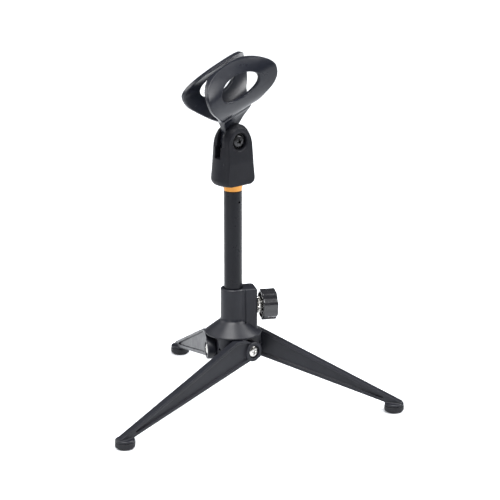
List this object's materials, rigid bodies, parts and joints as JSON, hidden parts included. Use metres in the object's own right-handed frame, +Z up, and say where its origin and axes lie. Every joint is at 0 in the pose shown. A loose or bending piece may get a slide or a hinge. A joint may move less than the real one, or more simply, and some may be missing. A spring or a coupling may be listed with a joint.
{
  "type": "desktop microphone stand",
  "caption": "Small folding tripod stand with a height-adjustable mast, side clamp knob and a tilting open-sided microphone clip.",
  "frame": {"origin": "on the surface that the three feet rest on, at the middle of the stand's bounding box seen from above", "axes": "+Z up along the mast, +X from the mast towards the clamp knob, +Y completes a right-handed frame"},
  "size_m": [0.1966, 0.1855, 0.2338],
  "materials": {
    "satin_black": "satin powder coat with a fine grain",
    "nickel": "bright nickel plate",
    "nylon": "matt black nylon",
    "foot_rubber": "matt moulded rubber",
    "brass": "polished brass",
    "knob_plastic": "glossy moulded plastic",
    "base_plastic": "fine spark-eroded moulding texture",
    "black_steel": "black oxide with an oil sheen",
    "clip_plastic": "semi-gloss moulded plastic"
  },
  "bodies": {
    "stand": {"hub": "satin_black", "leg_screw_1": "nickel", "leg_screw_2": "nickel", "leg_screw_3": "nickel", "leg_washer_1": "nylon", "leg_washer_2": "nylon", "leg_washer_3": "nylon"},
    "leg_a": {"leg_1": "satin_black", "foot_1": "foot_rubber"},
    "leg_b": {"leg_2": "satin_black", "foot_2": "foot_rubber"},
    "leg_c": {"leg_3": "satin_black", "foot_3": "foot_rubber"},
    "mast": {"mast_tube": "satin_black", "mast_thread_stud": "brass"},
    "clip_head": {"clip_base": "base_plastic", "clip_thread_insert": "brass", "clip_tilt_screw": "black_steel", "clip_tilt_nut": "black_steel"},
    "clip": {"mic_clip": "clip_plastic"},
    "clamp_pad": {"clamp_shoe": "nylon"},
    "knob": {"clamp_knob": "knob_plastic", "clamp_stud": "nickel", "clamp_collar": "nickel"}
  },
  "joints": [
    {"name": "fold_a", "type": "hinge", "parent": "stand", "child": "leg_a", "pos_m": [-0.00173, -0.00519, 0.0393], "axis": [0.5, 0.866, 0], "range_deg": [0, 72]},
    {"name": "fold_b", "type": "hinge", "parent": "stand", "child": "leg_b", "pos_m": [-0.0234, -0.0217, 0.0393], "axis": [-1, 0, 0], "range_deg": [0, 72]},
    {"name": "fold_c", "type": "hinge", "parent": "stand", "child": "leg_c", "pos_m": [0.00173, -0.03221, 0.0393], "axis": [0.5, -0.866, 0], "range_deg": [0, 72]},
    {"name": "mast_slide", "type": "slide", "parent": "stand", "child": "mast", "axis": [0, 0, 1], "range_m": [-0.044, 0.006]},
    {"name": "clip_swivel", "type": "hinge", "parent": "mast", "child": "clip_head", "pos_m": [-0.0078, -0.0197, 0.156], "axis": [0, 0, 1], "range_deg": [-180, 180]},
    {"name": "clip_tilt", "type": "hinge", "parent": "clip_head", "child": "clip", "pos_m": [-0.0078, -0.0197, 0.1793], "axis": [0.4571, -0.8894, 0], "range_deg": [-90, 60]},
    {"name": "clamp_travel", "type": "slide", "parent": "stand", "child": "clamp_pad", "axis": [1, 0, 0], "range_m": [0, 0.0016]},
    {"name": "knob_turn", "type": "hinge", "parent": "clamp_pad", "child": "knob", "pos_m": [0.0122, -0.0197, 0.0668], "axis": [1, 0, 0], "range_deg": [0, 540]}
  ],
  "couplings": [
    {"joint": "clamp_travel", "follows": "knob_turn", "m_per_rad": 0.00015915}
  ]
}
